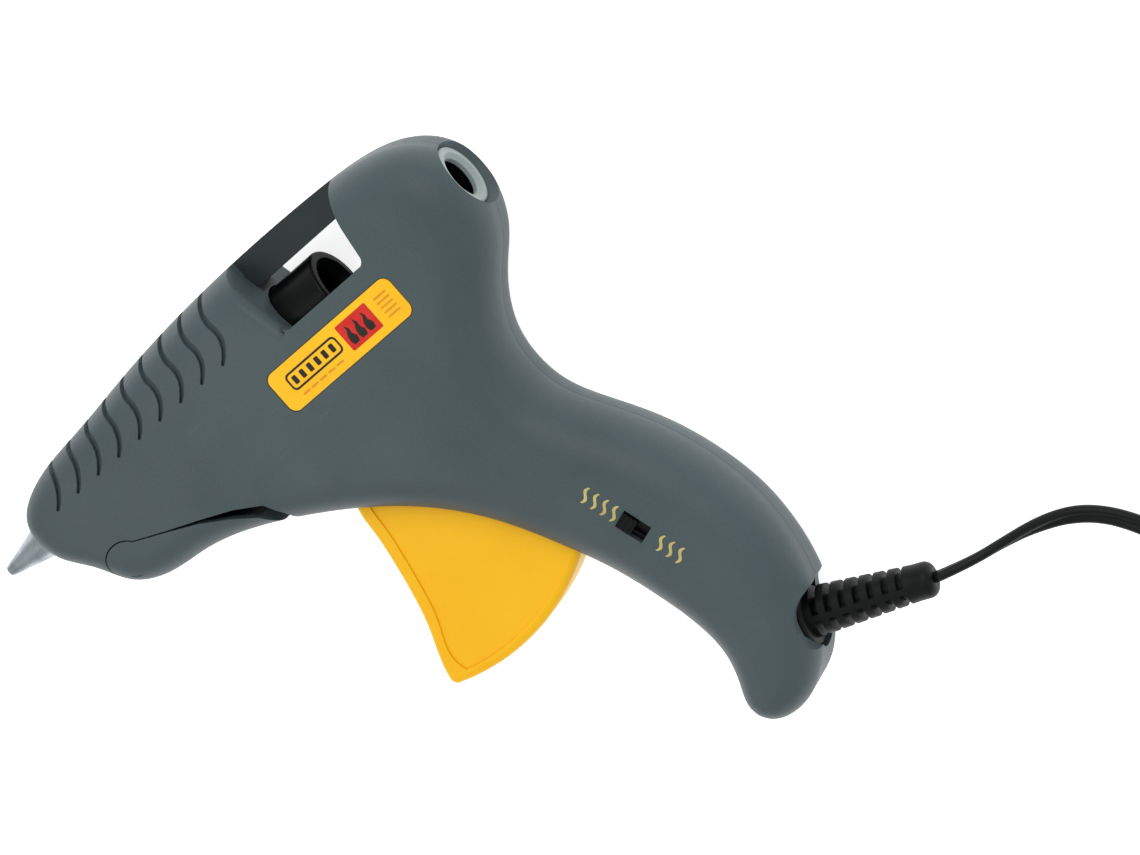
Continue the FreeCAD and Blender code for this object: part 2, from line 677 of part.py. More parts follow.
def valve_spring():
    """A light coil between the nozzle's shoulder and the ball."""
    helix = Part.makeHelix(1.9, 10.6, 2.3)
    profile = Part.Wire(Part.makeCircle(0.28, Vector(2.3, 0, 0), Vector(0, 1, 0)))
    coil = Part.Wire(helix).makePipeShell([profile], True, True)
    coil.Placement = Placement(Vector(15.2, AXIS_Y, 0), Rotation(Vector(0, 1, 0), 90))
    return coil


from_shape("valve_spring", valve_spring())

chamber_front = rod(
    "chamber_front", "Dims.chamber_radius", "48", "Dims.nozzle_length", "Dims.axis_y", "0", "x")
chamber_neck = rod("chamber_neck", "7", "6", "70", "Dims.axis_y", "0", "x")
saddle = block("chamber_saddle", "22", "6", "13", "47", "-8.2", "-6.5")
chamber_body = fuse("chamber_body", [chamber_front, chamber_neck, saddle])
chamber_bore = rod("chamber_bore", "Dims.melt_bore", "50", "32", "Dims.axis_y", "0", "x")
chamber_socket = rod("chamber_socket", "4.25", "9.2", "21", "Dims.axis_y", "0", "x")
chamber_port = rod("chamber_port", "1.6", "5", "29", "Dims.axis_y", "0", "x")
chamber_holes = fuse("chamber_holes", [chamber_bore, chamber_socket, chamber_port])
keep(cut("chamber_cut", chamber_body, chamber_holes), "melt_chamber")

heater_case = block("heater_case", "22", "3.9", "12", "49", "-12.2", "-6")
heater_notch = block("heater_notch", "3", "2", "14", "68.5", "-13", "-7")
keep(cut("heater_cut", heater_case, heater_notch), "ptc_heater")


def heater_clip():
    """A bent steel band that holds the heater against the chamber's saddle."""
    band = barrel(8.9, 55, 63).cut(barrel(8.1, 54, 64))
    band = band.cut(Part.makeBox(20, 20, 30, Vector(50, AXIS_Y - 20, -15)))
    legs = Part.makeBox(8, 13.8, 17.8, Vector(55, -12.8, -8.9))
    legs = legs.cut(Part.makeBox(10, 13.25, 16.2, Vector(54, -12.25, -8.1)))
    return band.fuse(legs)


from_shape("heater_clip", heater_clip())

sleeve_tube = rod("sleeve_tube", "8.8", "22.6", "70.3", "Dims.axis_y", "0", "x")
sleeve_lip = cone("sleeve_lip", "8.8", "9.2", "2", "90.9", "Dims.axis_y", "0", "x")
sleeve_body = fuse("sleeve_body", [sleeve_tube, sleeve_lip])
sleeve_socket = rod("sleeve_socket", "7.05", "6.2", "70", "Dims.axis_y", "0", "x")
sleeve_bore = rod("sleeve_bore", "Dims.melt_bore", "30", "70", "Dims.axis_y", "0", "x")
sleeve_holes = fuse("sleeve_holes", [sleeve_socket, sleeve_bore])
keep(cut("sleeve_cut", sleeve_body, sleeve_holes), "inlet_sleeve")

guide_tube = rod("guide_tube", "7.6", "27.8", "157.2", "Dims.axis_y", "0", "x")
guide_bore = rod("guide_bore", "Dims.stick_bore", "32", "155", "Dims.axis_y", "0", "x")
keep(cut("guide_cut", guide_tube, guide_bore), "stick_guide")


def inlet_ring():
    face = sheet.get("collar_face")
    ring = barrel(9.2, face - 2.4, face)
    outer_rim = [edge for edge in ring.Edges if edge.BoundBox.XMin > face - 0.01]
    ring = ring.makeFillet(0.9, outer_rim)
    ring = ring.cut(barrel(sheet.get("stick_bore"), face - 4, face + 1))
    return ring.cut(funnel(sheet.get("stick_bore"), 7.1, face - 1.2, face + 0.05))


from_shape("inlet_ring", inlet_ring())

# ---------------------------------------------------------------- switch
SLIDER_LENGTH = 4.4
from_shape("switch_body", at_switch(14, 9, 4, 13.9).fuse(at_switch(8.1, 5.1, 13.8, 15.2).cut(
    at_switch(SLIDER_LENGTH + SLIDER_TRAVEL + 0.2, 2.4, 13.9, 16))))
slider = at_switch(SLIDER_LENGTH, 4.5, 15.4, HALF + 0.9, -SLIDER_TRAVEL / 2)
for ridge in (-1.5, 0, 1.5):
    slider = slider.cut(at_switch(0.6, 7, HALF + 0.4, HALF + 2, ridge - SLIDER_TRAVEL / 2))
slider = slider.fuse(at_switch(SLIDER_LENGTH - 1, 1.8, 14.0, 15.6, -SLIDER_TRAVEL / 2))
from_shape("switch_slider", slider)

# ---------------------------------------------------------------- strain relief
RELIEF_LENGTH = sheet.get("relief_length")
RIB_PITCH = 4.05
RIB_SLOT = 1.9
RIBS = 7


def strain_relief():
    flange = Part.makeCylinder(9.5, 6, Vector(-6, 0, 0), Vector(1, 0, 0))
    rim = [edge for edge in flange.Edges if edge.BoundBox.XMin > -0.01]
    flange = flange.makeFillet(1.6, rim)
    body = flange.fuse(Part.makeCone(7.0, 5.0, RELIEF_LENGTH - 5.4, Vector(-0.1, 0, 0), Vector(1, 0, 0)))
    end = Part.makeCylinder(5.0, 5.5, Vector(RELIEF_LENGTH - 5.5, 0, 0), Vector(1, 0, 0))
    end_rim = [edge for edge in end.Edges if edge.BoundBox.XMin > RELIEF_LENGTH - 0.01]
    body = body.fuse(end.makeFillet(2.6, end_rim))
    body = body.fuse(Part.makeCylinder(5.2, 3.2, Vector(-9.1, 0, 0), Vector(1, 0, 0)))
    body = body.fuse(Part.makeCylinder(7.5, 3, Vector(-12.1, 0, 0), Vector(1, 0, 0)))
    core = Part.makeCylinder(3.7, RELIEF_LENGTH, Vector(0, 0, 0), Vector(1, 0, 0))
    slots = []
    for number in range(RIBS):
        start = 1.6 + number * RIB_PITCH
        for low in (0.9, -15.9):
            slots.append(Part.makeBox(RIB_SLOT, 15, 30, Vector(start, low, -15)).cut(core))
    body = body.cut(Part.makeCompound(slots))
    body.Placement = RELIEF
    return body


from_shape("strain_relief", strain_relief())


# ---------------------------------------------------------------- wires and cord
def tube_along(route, radius):
    """A tube of straight runs joined by tangent arcs, each as large as its two runs allow."""
    points = [Vector(*point) for point in route]
    edges = []
    start = points[0]
    for before, corner, after in zip(points, points[1:], points[2:]):
        arriving = corner - before
        leaving = after - corner
        turn = arriving.getAngle(leaving)
        setback = 0.45 * min(arriving.Length, leaving.Length)
        arriving.normalize()
        leaving.normalize()
        first = corner - arriving * setback
        last = corner + leaving * setback
        bisector = (leaving - arriving).normalize()
        rise = setback * (1 / math.cos(turn / 2) - 1) / math.tan(turn / 2) if turn > 1e-6 else 0
        middle = corner + bisector * rise
        edges.append(Part.LineSegment(start, first).toShape())
        edges.append(Part.Arc(first, middle, last).toShape())
        start = last
    edges.append(Part.LineSegment(start, points[-1]).toShape())
    wire = Part.Wire(edges)
    heading = points[1] - points[0]
    circle = Part.Wire(Part.makeCircle(radius, points[0], heading))
    tube = wire.makePipeShell([circle], True, False)
    return tube


# two insulated wires from the cord clamp, up the back of the handle and forward to the heater
wire_route = [
    (163, -133, 8), (176, -122, 10.3), (176, -104, 10.3), (164, -80, 10.3), (147, -50, 10.3),
    (126, -26, 10.3), (104, -22, 10.3), (88, -18, 9.0), (78, -12.5, 6), (73.2, -10.3, 3),
]
from_shape("live_wire", tube_along(wire_route, 1.0))
from_shape("neutral_wire", tube_along([(x, y, -z) for x, y, z in wire_route], 1.0))
clamp = block("clamp_bar", "8", "6", "20", "160.6", "-140.1", "-10")
clamp_notch = block("clamp_notch", "10", "2.4", "6", "159.6", "-140.6", "-3")
keep(cut("clamp_cut", clamp, clamp_notch), "cord_clamp")

# the cord: out of the strain relief, down to the table and away to its coil; heights are from the seam
CORD_RADIUS = sheet.get("cord_radius")
TABLE = -HALF
ON_TABLE = TABLE + CORD_RADIUS
tilt = math.radians(RELIEF_TILT)
exit_x = sheet.get("relief_x") + RELIEF_LENGTH * math.cos(tilt)
exit_y = sheet.get("relief_y") + RELIEF_LENGTH * math.sin(tilt)
COIL_X = sheet.get("coil_x")
COIL_Y = sheet.get("coil_y")
COIL_MEAN = sheet.get("coil_mean")
COIL_INNER = COIL_MEAN - 8
COIL_OUTER = COIL_MEAN + 8
COIL_LOW = TABLE + 0.9
COIL_HIGH = COIL_LOW + 9.4
cord_route = [
    (exit_x, exit_y, 0), (222.9, -163.0, -0.9), (231.6, -164.9, -5.6), (239.2, -167.3, -11.2),
    (247.4, -171.2, ON_TABLE), (254.6, -176.6, ON_TABLE), (260.2, -184.2, ON_TABLE),
    (265.0, -194.0, ON_TABLE), (271.0, -204.4, ON_TABLE), (278.8, -214.4, ON_TABLE),
    (290.6, -222.4, ON_TABLE + 1.5),
]
from_shape("cord", tube_along(cord_route, CORD_RADIUS))


def coil_ring():
    ring = pillar(COIL_X, COIL_Y, COIL_OUTER, COIL_LOW, COIL_HIGH)
    ring = ring.cut(pillar(COIL_X, COIL_Y, COIL_INNER, COIL_LOW - 1, COIL_HIGH + 1))
    return ring.makeFillet(2.2, [edge for edge in ring.Edges if edge.BoundBox.ZLength < 0.01])


from_shape("cord_coil", coil_ring())

TIE_TURN = 70.0


def cord_tie():
    """A flat tie round the coil's turns."""
    frame = Part.makeBox(18.4, 7, 11.2, Vector(COIL_INNER - 1.2, -3.5, TABLE + 0.1))
    hole = Part.makeBox(16.8, 9, 9.6, Vector(COIL_INNER - 0.4, -4.5, TABLE + 0.8))
    tie = frame.cut(hole)
    tie.Placement = Placement(Vector(COIL_X, COIL_Y, 0), Rotation(Vector(0, 0, 1), TIE_TURN))
    return tie


from_shape("cord_tie", cord_tie())

PLUG_Y = COIL_Y + 30.0
PLUG_X = COIL_X + COIL_OUTER - 3.0
PLUG_HIGH = 12.6
tail_route = [
    (PLUG_X, COIL_Y + 1, TABLE + 4.0), (PLUG_X + 0.3, COIL_Y + 11, TABLE + 4.2),
    (PLUG_X + 0.3, COIL_Y + 21, TABLE + PLUG_HIGH / 2), (PLUG_X, PLUG_Y, TABLE + PLUG_HIGH / 2),
]
from_shape("cord_tail", tube_along(tail_route, CORD_RADIUS))


def plug_body():
    """A moulded flat plug: a waisted finger grip that tapers to the cord."""
    half = [(2.9, 0), (3.6, 7), (8.4, 12), (9.2, 17), (11.6, 21), (12.2, 25.5), (12.2, 28)]
    right = [(PLUG_X + across, PLUG_Y + along) for across, along in half]
    left = [(PLUG_X - across, PLUG_Y + along) for across, along in reversed(half)]
    body = prism(right + left, TABLE, TABLE + PLUG_HIGH)
    return body.makeFillet(1.4, [edge for edge in body.Edges if edge.BoundBox.ZLength < 0.01])


from_shape("plug_body", plug_body())
blades = []
for across, width in ((-6.35, 6.35), (6.35, 7.9)):
    blade = Part.makeBox(1.5, 17.5, width, Vector(PLUG_X + across - 0.75, PLUG_Y + 28,
                                                   TABLE + PLUG_HIGH / 2 - width / 2))
    hole = Part.makeCylinder(
        1.6, 4, Vector(PLUG_X + across - 2, PLUG_Y + 40, TABLE + PLUG_HIGH / 2), Vector(1, 0, 0))
    blades.append(blade.cut(hole))
from_shape("plug_blades", Part.makeCompound(blades))

# ---------------------------------------------------------------- check and write
doc.recompute()
for item in doc.Objects:
    if "Invalid" in item.State or "Error" in item.State:
        raise RuntimeError("failed: " + item.Name)
for item in sub_parts:
    shape = item.Shape
    if shape.isNull() or not shape.isValid():
        raise RuntimeError("bad shape: " + item.Label)

os.makedirs("parts", exist_ok=True)
for item in sub_parts:
    item.Shape.exportStep(os.path.join("parts", item.Label + ".step"))
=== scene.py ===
import math

import bmesh
import bpy
from mathutils import Matrix, Vector
from mathutils.bvhtree import BVHTree


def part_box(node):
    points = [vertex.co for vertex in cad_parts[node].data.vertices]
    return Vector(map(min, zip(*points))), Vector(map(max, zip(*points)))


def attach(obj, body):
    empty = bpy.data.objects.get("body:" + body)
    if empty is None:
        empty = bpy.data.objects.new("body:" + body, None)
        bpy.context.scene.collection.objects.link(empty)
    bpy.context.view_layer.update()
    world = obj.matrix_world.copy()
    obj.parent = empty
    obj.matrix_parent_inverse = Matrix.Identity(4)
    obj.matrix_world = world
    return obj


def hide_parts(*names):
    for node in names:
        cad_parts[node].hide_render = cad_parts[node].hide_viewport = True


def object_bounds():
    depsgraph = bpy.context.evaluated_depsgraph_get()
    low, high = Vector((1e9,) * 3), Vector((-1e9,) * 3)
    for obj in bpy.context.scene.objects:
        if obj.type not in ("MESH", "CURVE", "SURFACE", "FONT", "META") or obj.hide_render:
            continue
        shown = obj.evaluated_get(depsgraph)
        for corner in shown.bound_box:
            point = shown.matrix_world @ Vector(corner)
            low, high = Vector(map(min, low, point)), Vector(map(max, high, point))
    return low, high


# ---------------------------------------------------------------- the tool on its table
# A mains glue gun lies flat on a table with its switch side up. The gun is drawn in millimetres: x runs
# back from the nozzle tip, y up to the top of the barrel, z out of the seam between the two casings.
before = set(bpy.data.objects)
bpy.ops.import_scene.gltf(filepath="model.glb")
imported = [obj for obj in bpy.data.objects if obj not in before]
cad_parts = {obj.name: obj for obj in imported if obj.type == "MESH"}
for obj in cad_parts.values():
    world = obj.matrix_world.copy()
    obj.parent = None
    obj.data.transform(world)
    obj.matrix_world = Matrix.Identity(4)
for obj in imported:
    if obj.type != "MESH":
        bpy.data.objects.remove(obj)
cad_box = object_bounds()
TABLE = -17.0                                  # the table lies this far below the seam

nozzle_low, nozzle_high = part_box("nozzle")
BARREL_LINE = 1.0


def gun(x, y, z):
    """A point on the gun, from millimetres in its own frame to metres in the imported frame."""
    return Vector((
        nozzle_low.x + x / 1000,
        (nozzle_low.y + nozzle_high.y) / 2 + (y - BARREL_LINE) / 1000,
        (nozzle_low.z + nozzle_high.z) / 2 + z / 1000,
    ))


# ---------------------------------------------------------------- camera
# A long lens looks down on the flat side from behind the handle, so the stick inlet shows, and is
# rolled so that the barrel climbs from the lower left of the frame to its top.
LENS = 120.0
STANDS_OFF = 1.0165
ROLL = math.radians(39.4)
middle = gun(161.96, -68.63, 0)
towards = Vector((0.43, 0.0715, 0.9)).normalized()
level = (Vector((1, 0, 0)) - towards * towards.x).normalized()
upright = towards.cross(level)
camera = bpy.data.objects.new("camera", bpy.data.cameras.new("camera"))
bpy.context.scene.collection.objects.link(camera)
camera.data.lens = LENS
camera.data.sensor_width = 36.0
camera.data.clip_start, camera.data.clip_end = 0.05, 20.0
right = level * math.cos(ROLL) - upright * math.sin(ROLL)
above = level * math.sin(ROLL) + upright * math.cos(ROLL)
turned = Matrix((right, above, towards)).transposed().to_4x4()
camera.matrix_world = Matrix.Translation(middle + towards * STANDS_OFF) @ turned
bpy.context.scene.camera = camera


# ---------------------------------------------------------------- mains cord
# A flat two-core vinyl lead. It leaves the strain relief on edge, drops to the table, turns flat and
# ends, after a neat coil of the spare length, in the moulded plug.
CORD_WIDE = 5.2
CORD_THICK = 2.8
COIL_MIDDLE = (312.0, -207.0)
COIL_STARTS = 205.0                            # degrees round the coil where its first turn begins
TURN_POINTS = 14
# where each turn lies: (radius, height above the table); three rows of up to three, wound out and in
COIL_TURNS = [
    (33.9, 1.5), (28.4, 1.5), (23.0, 1.5), (22.9, 4.5), (28.5, 4.5), (33.8, 4.5), (28.6, 7.5), (33.4, 7.3),
]
LAST_TURN = 155.0                              # degrees of the last turn, up to where it runs to the plug

cord_run = [
    (213.25, -160.57, 0), (222.9, -163.0, -0.9), (231.6, -164.9, -5.6), (239.2, -167.3, -11.2),
    (247.4, -171.2, -15.2), (254.6, -176.6, -15.4), (260.2, -184.2, -15.4), (265.0, -194.0, -15.4),
    (271.0, -204.4, -15.4), (278.8, -214.4, -15.5),
]
steps = (len(COIL_TURNS) - 1) * TURN_POINTS + round(LAST_TURN / 360 * TURN_POINTS)
for step in range(steps):
    turn = step / TURN_POINTS
    this = COIL_TURNS[int(turn)]
    after = COIL_TURNS[min(int(turn) + 1, len(COIL_TURNS) - 1)]
    shift = max(0.0, (turn % 1 - 0.7) / 0.3)   # a turn keeps its place, then moves over to the next
    shift = shift * shift * (3 - 2 * shift)
    radius = this[0] + (after[0] - this[0]) * shift + 0.25 * math.sin(2.3 * turn * math.pi + 0.7)
    height = this[1] + (after[1] - this[1]) * shift
    angle = math.radians(COIL_STARTS) + 2 * math.pi * turn
    cord_run.append((
        COIL_MIDDLE[0] + radius * math.cos(angle), COIL_MIDDLE[1] + radius * math.sin(angle), TABLE + height,
    ))
cord_run += [(345.2, -203, -9.9), (345.4, -195, -10.3), (345.2, -186, -10.7), (345, -176, -10.7)]


def spline_points(name, points):
    """The smooth line that has these control points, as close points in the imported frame."""
    line = bpy.data.curves.new(name, "CURVE")
    line.dimensions = "3D"
    line.resolution_u = 10
    spline = line.splines.new("NURBS")
    spline.points.add(len(points) - 1)
    for control, point in zip(spline.points, points):
        control.co = (*gun(*point), 1)
    spline.order_u = 3
    spline.use_endpoint_u = True
    holder = bpy.data.objects.new(name, line)
    bpy.context.scene.collection.objects.link(holder)
    bpy.context.view_layer.update()
    sampled = bpy.data.meshes.new_from_object(holder.evaluated_get(bpy.context.evaluated_depsgraph_get()))
    close = [vertex.co.copy() for vertex in sampled.vertices]
    bpy.data.objects.remove(holder)
    return close


def flat_cord_section():
    """The lead's outline: two round cores joined by a web, with a groove each side between them."""
    offset = (CORD_WIDE - CORD_THICK) / 2
    outline = []
    for side in (1, -1):
        for number in range(11):
            angle = math.radians(-145 + 29 * number)
            outline.append((
                side * (offset + CORD_THICK / 2 * math.cos(angle)), side * CORD_THICK / 2 * math.sin(angle),
            ))
    return outline


def new_piece(name, mesh):
    """A finished bmesh as an object in the scene."""
    data = bpy.data.meshes.new(name)
    mesh.to_mesh(data)
    mesh.free()
    piece = bpy.data.objects.new(name, data)
    bpy.context.scene.collection.objects.link(piece)
    return piece


def loft(name, rings, round_again=False):
    """A skin over rings that all have the same number of points, closed at its ends or run round again."""
    mesh = bmesh.new()
    rows = [[mesh.verts.new(point) for point in ring] for ring in rings]
    if round_again:
        rows.append(rows[0])
    for row, following in zip(rows, rows[1:]):
        for number in range(len(row)):
            beside = (number + 1) % len(row)
            mesh.faces.new((row[number], row[beside], following[beside], following[number]))
    if not round_again:
        mesh.faces.new(list(reversed(rows[0])))
        mesh.faces.new(rows[-1])
    bmesh.ops.recalc_face_normals(mesh, faces=mesh.faces)
    piece = new_piece(name, mesh)
    for face in piece.data.polygons:
        face.use_smooth = True
    return piece


def eased(value, marks):
    """Reads a smooth value between (place, value) marks."""
    for (start, low), (end, high) in zip(marks, marks[1:]):
        if value <= end:
            share = max(0.0, (value - start) / (end - start))
            return low + (high - low) * share * share * (3 - 2 * share)
    return marks[-1][1]


ON_EDGE = [(0, 82), (14, 76), (46, 12), (66, 0), (82, 18), (105, 0)]   # distance, roll in degrees
cord_line = spline_points("cord_line", cord_run)
section = flat_cord_section()
cord_rings = []
gone = 0.0
for number, point in enumerate(cord_line):
    ahead = cord_line[min(number + 1, len(cord_line) - 1)]
    behind = cord_line[max(number - 1, 0)]
    heading = (ahead - behind).normalized()
    across = Vector((0, 0, 1)).cross(heading).normalized()
    lift = heading.cross(across)
    gone += (point - behind).length * 1000
    roll = math.radians(eased(gone, ON_EDGE))
    wide = across * math.cos(roll) + lift * math.sin(roll)
    thick = lift * math.cos(roll) - across * math.sin(roll)
    cord_rings.append([point + wide * (u / 1000) + thick * (v / 1000) for u, v in section])
mains_cord = loft("mains_cord", cord_rings)


def fill_inputs(tree, made, inputs):
    """Sets a node's inputs. Each is a plain value, or the output of another node."""
    for socket, value in inputs.items():
        if isinstance(value, bpy.types.NodeSocket):
            tree.links.new(value, made.inputs[socket])
        else:
            made.inputs[socket].default_value = value


def add_node(tree, kind, inputs, **settings):
    """One shader node."""
    made = tree.nodes.new("ShaderNode" + kind)
    for name, value in settings.items():
        setattr(made, name, value)
    fill_inputs(tree, made, inputs)
    return made


def new_group(name, takes, gives):
    """An empty effect with named inputs and outputs; returns it with its two end nodes."""
    group = bpy.data.node_groups.new(name, "ShaderNodeTree")
    kinds = {"vector": "NodeSocketVector", "number": "NodeSocketFloat", "colour": "NodeSocketColor"}
    for label, kind, start in takes:
        socket = group.interface.new_socket(name=label, in_out="INPUT", socket_type=kinds[kind])
        if start is not None:
            socket.default_value = start
    for label, kind in gives:
        group.interface.new_socket(name=label, in_out="OUTPUT", socket_type=kinds[kind])
    return group, group.nodes.new("NodeGroupInput").outputs, group.nodes.new("NodeGroupOutput").inputs


def place_effect(tree, group, inputs):
    """One use of an effect in a material, with that material's own values."""
    made = tree.nodes.new("ShaderNodeGroup")
    made.node_tree = group
    fill_inputs(tree, made, inputs)
    return made.outputs


def colour(code):
    """A colour written as six hex digits, in the linear values that the shaders take."""
    parts = [int(code[start:start + 2], 16) / 255 for start in (0, 2, 4)]
    return (*[part / 12.92 if part <= 0.04045 else ((part + 0.055) / 1.055) ** 2.4 for part in parts], 1.0)


def new_finish(name):
    """A fresh material: its tree, its Principled shader and the piece's own coordinates."""
    finish = bpy.data.materials.new(name)
    finish.use_nodes = True
    tree = finish.node_tree
    shader = tree.nodes["Principled BSDF"]
    where = tree.nodes.new("ShaderNodeTexCoord").outputs["Object"]
    return finish, tree, shader, where


# mould texture: the fine sparked grain that a steel mould leaves, as a height
mould_grain, taken, given = new_group(
    "mould_grain", [("Place", "vector", None), ("Grain", "number", 0.0003)], [("Height", "number")])
per_grain = add_node(mould_grain, "Math", {0: 1.0, 1: taken["Grain"]}, operation="DIVIDE")
coarse = add_node(mould_grain, "TexNoise", {
    "Vector": taken["Place"], "Scale": per_grain.outputs[0], "Detail": 3.0, "Roughness": 0.62})
mould_grain.links.new(coarse.outputs["Fac"], given["Height"])

# moulded colour: slow flow patches and a fine speckle between two near tones, and the gloss with it
moulded_tone, taken, given = new_group(
    "moulded_tone",
    [("Place", "vector", None), ("Deep", "colour", (0, 0, 0, 1)), ("Pale", "colour", (1, 1, 1, 1)),
     ("Patch", "number", 0.03), ("Smooth", "number", 0.4), ("Rough", "number", 0.55)],
    [("Color", "colour"), ("Gloss", "number")])
per_patch = add_node(moulded_tone, "Math", {0: 1.0, 1: taken["Patch"]}, operation="DIVIDE")
patches = add_node(moulded_tone, "TexNoise", {
    "Vector": taken["Place"], "Scale": per_patch.outputs[0], "Detail": 4.0, "Roughness": 0.55})
speckle = add_node(moulded_tone, "TexNoise", {"Vector": taken["Place"], "Scale": 2600.0, "Detail": 1.0})
both = add_node(moulded_tone, "Mix", {0: 0.3, 2: patches.outputs["Fac"], 3: speckle.outputs["Fac"]})
spread = add_node(moulded_tone, "MapRange", {0: both.outputs[0], 1: 0.34, 2: 0.66})
mixed = add_node(moulded_tone, "Mix", {
    0: spread.outputs[0], 6: taken["Deep"], 7: taken["Pale"]}, data_type="RGBA")
moulded_tone.links.new(mixed.outputs[2], given["Color"])
glossy = add_node(moulded_tone, "MapRange", {
    0: spread.outputs[0], 3: taken["Rough"], 4: taken["Smooth"]})
moulded_tone.links.new(glossy.outputs[0], given["Gloss"])

# handling scuffs: short pale rubbed streaks, as a mask
handling_scuffs, taken, given = new_group(
    "handling_scuffs",
    [("Place", "vector", None), ("Amount", "number", 0.3), ("Streak", "number", 90.0)], [("Mask", "number")])
stretched = add_node(handling_scuffs, "Mapping", {
    "Vector": taken["Place"], "Rotation": (0.4, 0.3, 0.75), "Scale": (1.0, 7.0, 5.0)})
streaks = add_node(handling_scuffs, "TexNoise", {
    "Vector": stretched.outputs[0], "Scale": taken["Streak"], "Detail": 5.0, "Roughness": 0.7})
areas = add_node(handling_scuffs, "TexNoise", {"Vector": taken["Place"], "Scale": 26.0, "Detail": 2.0})
sharp = add_node(handling_scuffs, "MapRange", {0: streaks.outputs["Fac"], 1: 0.6, 2: 0.74})
where_worn = add_node(handling_scuffs, "MapRange", {0: areas.outputs["Fac"], 1: 0.5, 2: 0.68})
masked = add_node(
    handling_scuffs, "Math", {0: sharp.outputs[0], 1: where_worn.outputs[0]}, operation="MULTIPLY")
scaled = add_node(handling_scuffs, "Math", {0: masked.outputs[0], 1: taken["Amount"]}, operation="MULTIPLY")
handling_scuffs.links.new(scaled.outputs[0], given["Mask"])


def moulded_finish(name, deep, pale, worn, grain, depth, smooth, rough, scuffs=0.3, patch=0.03, shine=0.3):
    """A moulded plastic or vinyl: two near tones, mould grain, and scuffs that show a paler tone."""
    finish, tree, shader, where = new_finish(name)
    shader.inputs["Specular IOR Level"].default_value = shine
    tone = place_effect(tree, moulded_tone, {
        "Place": where, "Deep": colour(deep), "Pale": colour(pale), "Patch": patch,
        "Smooth": smooth, "Rough": rough})
    rubbed = place_effect(tree, handling_scuffs, {"Place": where, "Amount": scuffs})
    shown = add_node(tree, "Mix", {
        0: rubbed["Mask"], 6: tone["Color"], 7: colour(worn)}, data_type="RGBA")
    tree.links.new(shown.outputs[2], shader.inputs["Base Color"])
    tree.links.new(tone["Gloss"], shader.inputs["Roughness"])
    height = place_effect(tree, mould_grain, {"Place": where, "Grain": grain})
    bump = add_node(tree, "Bump", {"Strength": 0.5, "Distance": depth, "Height": height["Height"]})
    tree.links.new(bump.outputs[0], shader.inputs["Normal"])
    return finish, tree, shader, where, shown


cord_vinyl, *_ = moulded_finish(
    "cord_vinyl", "080b0b", "101414", "242a2a", 0.0005, 0.00004, 0.36, 0.48, scuffs=0.25, shine=0.18)
mains_cord.data.materials.append(cord_vinyl)
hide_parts("cord", "cord_coil", "cord_tail")
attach(mains_cord, "casing")


# ---------------------------------------------------------------- plug
# A moulded two-pin plug on the cord's far end: a waisted grip with finger ridges round a flat nose, all
# one vinyl moulding, with two folded brass blades standing out of its face.
PLUG_X = 345.0
PLUG_Y = -177.0
PLUG_HEIGHT = 6.3                              # centre of the plug above the table
PLUG_LONG = 28.0
PLUG_SECTIONS = 84
# along the plug: (distance from its tail, half width, half height)
PLUG_SHAPE = [
    (0, 2.9, 1.9), (0.8, 3.3, 2.2), (6, 3.7, 2.6), (9.2, 5.2, 4.0), (12, 7.9, 5.2), (14.5, 8.6, 5.6),
    (17, 8.9, 5.7), (19.5, 10.2, 6.0), (21.8, 11.6, 6.2), (25.2, 12.2, 6.3),
    (27.3, 12.0, 6.1), (28, 11.2, 5.5),
]
GRIP_GROOVES = (9.6, 11.6, 13.6, 15.6, 17.6)   # where the grooves between the finger ridges lie
GROOVE_HALF = 0.55
GROOVE_DEEP = 0.45


def plug_ring(along, half_wide, half_high):
    """One section of the plug: a rounded oblong."""
    ring = []
    for number in range(32):
        angle = 2 * math.pi * number / 32
        c, s = math.cos(angle), math.sin(angle)
        ring.append(gun(
            PLUG_X + half_wide * math.copysign(abs(c) ** 0.55, c), PLUG_Y + along,
            TABLE + PLUG_HEIGHT + half_high * math.copysign(abs(s) ** 0.55, s)))
    return ring


plug_rings = []
for number in range(PLUG_SECTIONS + 1):
    along = PLUG_LONG * number / PLUG_SECTIONS
    half_wide = half_high = 0
    for (start, wide, high), (end, wide_next, high_next) in zip(PLUG_SHAPE, PLUG_SHAPE[1:]):
        if start <= along <= end:
            share = (along - start) / (end - start)
            half_wide = wide + (wide_next - wide) * share
            half_high = high + (high_next - high) * share
    groove = max(1 - abs(along - centre) / GROOVE_HALF for centre in GRIP_GROOVES)
    dip = GROOVE_DEEP * max(0.0, groove)
    plug_rings.append(plug_ring(along, half_wide - dip, half_high - dip))
mains_plug = loft("mains_plug", plug_rings)
plug_vinyl, *_ = moulded_finish(
    "plug_vinyl", "141617", "202425", "3a3f40", 0.0004, 0.00005, 0.36, 0.5, scuffs=0.3)
mains_plug.data.materials.append(plug_vinyl)
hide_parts("plug_body")
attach(mains_plug, "casing")

# turned and drawn metal: fine lines round or along the piece, as a height
drawn_lines, taken, given = new_group(
    "drawn_lines",
    [("Place", "vector", None), ("Squeeze", "vector", (1, 1, 1)), ("Lines", "number", 300.0)],
    [("Height", "number")])
squeezed = add_node(drawn_lines, "VectorMath", {0: taken["Place"], 1: taken["Squeeze"]}, operation="MULTIPLY")
lines = add_node(drawn_lines, "TexNoise", {
    "Vector": squeezed.outputs[0], "Scale": taken["Lines"], "Detail": 4.0, "Roughness": 0.65})
drawn_lines.links.new(lines.outputs["Fac"], given["Height"])


